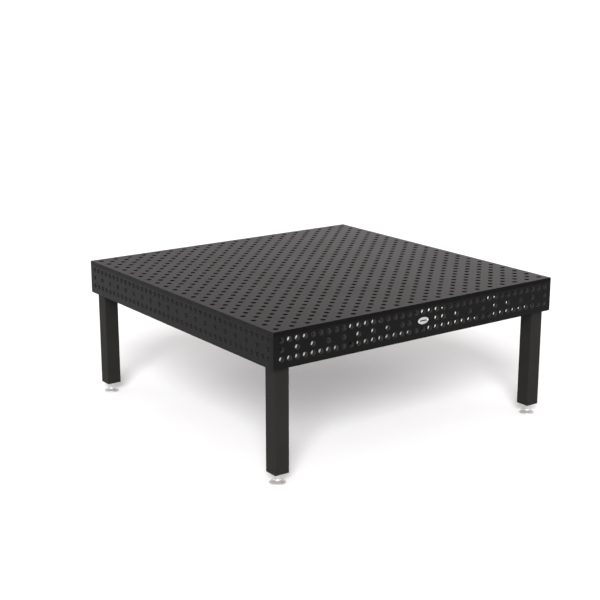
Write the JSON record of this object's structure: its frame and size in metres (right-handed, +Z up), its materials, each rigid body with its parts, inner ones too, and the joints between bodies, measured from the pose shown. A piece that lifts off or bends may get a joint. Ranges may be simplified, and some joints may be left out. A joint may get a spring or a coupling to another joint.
{
  "type": "welding table",
  "caption": "Square perforated welding table: a deep welded box with a grid of clamping bores in its face and sides, on four bolted square legs with levelling feet.",
  "frame": {"origin": "on the floor, under the middle of the table", "axes": "+Z up, badge side facing -Y, +X to the right when facing the badge"},
  "size_m": [2, 2.0028, 0.85],
  "materials": {
    "top_plate": "nitrided machined steel plate, dark warm grey, satin",
    "side_plate": "nitrided steel plate, near black, satin",
    "inner_steel": "nitrided steel plate, near black, with welded seams",
    "leg_paint": "dark grey powder coat",
    "zinc": "zinc-plated steel",
    "foot_steel": "turned bright stainless steel",
    "bright_steel": "bright zinc-plated steel",
    "spring_steel": "phosphated spring steel",
    "badge_metal": "brushed aluminium",
    "badge_enamel": "dark enamel fill",
    "rivet_metal": "plain aluminium"
  },
  "bodies": {
    "table": {"table_top": "top_plate", "side_panel_front": "side_plate", "side_panel_back": "side_plate", "side_panel_left": "side_plate", "side_panel_right": "side_plate", "rib_lengthways_left": "inner_steel", "rib_lengthways_middle": "inner_steel", "rib_lengthways_right": "inner_steel", "rib_crossways_front": "inner_steel", "rib_crossways_middle": "inner_steel", "rib_crossways_back": "inner_steel", "corner_gusset_front_left": "inner_steel", "corner_gusset_front_right": "inner_steel", "corner_gusset_back_left": "inner_steel", "corner_gusset_back_right": "inner_steel", "mount_plate_front_left": "inner_steel", "mount_plate_front_right": "inner_steel", "mount_plate_back_left": "inner_steel", "mount_plate_back_right": "inner_steel", "leg_bolts": "zinc", "leg_bolt_washers": "zinc", "leg_tube_front_left": "leg_paint", "leg_tube_front_right": "leg_paint", "leg_tube_back_left": "leg_paint", "leg_tube_back_right": "leg_paint", "leg_top_plate_front_left": "leg_paint", "leg_top_plate_front_right": "leg_paint", "leg_top_plate_back_left": "leg_paint", "leg_top_plate_back_right": "leg_paint", "leg_nut_plate_front_left": "leg_paint", "leg_nut_plate_front_right": "leg_paint", "leg_nut_plate_back_left": "leg_paint", "leg_nut_plate_back_right": "leg_paint", "badge_plate": "badge_metal", "badge_inlay": "badge_enamel", "badge_rivets": "rivet_metal"},
    "foot_front_left": {"foot_base_front_left": "foot_steel", "foot_circlip_front_left": "spring_steel"},
    "spindle_front_left": {"foot_spindle_front_left": "bright_steel"},
    "nut_front_left": {"lock_nut_front_left": "bright_steel"},
    "foot_front_right": {"foot_base_front_right": "foot_steel", "foot_circlip_front_right": "spring_steel"},
    "spindle_front_right": {"foot_spindle_front_right": "bright_steel"},
    "nut_front_right": {"lock_nut_front_right": "bright_steel"},
    "foot_back_left": {"foot_base_back_left": "foot_steel", "foot_circlip_back_left": "spring_steel"},
    "spindle_back_left": {"foot_spindle_back_left": "bright_steel"},
    "nut_back_left": {"lock_nut_back_left": "bright_steel"},
    "foot_back_right": {"foot_base_back_right": "foot_steel", "foot_circlip_back_right": "spring_steel"},
    "spindle_back_right": {"foot_spindle_back_right": "bright_steel"},
    "nut_back_right": {"lock_nut_back_right": "bright_steel"}
  },
  "joints": [
    {"name": "foot_height_front_left", "type": "slide", "parent": "table", "child": "foot_front_left", "axis": [0, 0, -1], "range_m": [0, 0.03]},
    {"name": "spindle_turn_front_left", "type": "hinge", "parent": "foot_front_left", "child": "spindle_front_left", "pos_m": [-0.9267, -0.9267, 0.015], "axis": [0, 0, -1], "range_deg": [-10, 3610]},
    {"name": "lock_nut_turn_front_left", "type": "hinge", "parent": "table", "child": "nut_front_left", "pos_m": [-0.9267, -0.9267, 0.0529], "axis": [0, 0, -1], "range_deg": [0, 90]},
    {"name": "foot_height_front_right", "type": "slide", "parent": "table", "child": "foot_front_right", "axis": [0, 0, -1], "range_m": [0, 0.03]},
    {"name": "spindle_turn_front_right", "type": "hinge", "parent": "foot_front_right", "child": "spindle_front_right", "pos_m": [0.9267, -0.9267, 0.015], "axis": [0, 0, -1], "range_deg": [-10, 3610]},
    {"name": "lock_nut_turn_front_right", "type": "hinge", "parent": "table", "child": "nut_front_right", "pos_m": [0.9267, -0.9267, 0.0529], "axis": [0, 0, -1], "range_deg": [0, 90]},
    {"name": "foot_height_back_left", "type": "slide", "parent": "table", "child": "foot_back_left", "axis": [0, 0, -1], "range_m": [0, 0.03]},
    {"name": "spindle_turn_back_left", "type": "hinge", "parent": "foot_back_left", "child": "spindle_back_left", "pos_m": [-0.9267, 0.9267, 0.015], "axis": [0, 0, -1], "range_deg": [-10, 3610]},
    {"name": "lock_nut_turn_back_left", "type": "hinge", "parent": "table", "child": "nut_back_left", "pos_m": [-0.9267, 0.9267, 0.0529], "axis": [0, 0, -1], "range_deg": [0, 90]},
    {"name": "foot_height_back_right", "type": "slide", "parent": "table", "child": "foot_back_right", "axis": [0, 0, -1], "range_m": [0, 0.03]},
    {"name": "spindle_turn_back_right", "type": "hinge", "parent": "foot_back_right", "child": "spindle_back_right", "pos_m": [0.9267, 0.9267, 0.015], "axis": [0, 0, -1], "range_deg": [-10, 3610]},
    {"name": "lock_nut_turn_back_right", "type": "hinge", "parent": "table", "child": "nut_back_right", "pos_m": [0.9267, 0.9267, 0.0529], "axis": [0, 0, -1], "range_deg": [0, 90]}
  ],
  "couplings": [
    {"joint": "spindle_turn_front_left", "follows": "foot_height_front_left", "rad_per_m": 2094.4},
    {"joint": "spindle_turn_front_right", "follows": "foot_height_front_right", "rad_per_m": 2094.4},
    {"joint": "spindle_turn_back_left", "follows": "foot_height_back_left", "rad_per_m": 2094.4},
    {"joint": "spindle_turn_back_right", "follows": "foot_height_back_right", "rad_per_m": 2094.4}
  ]
}
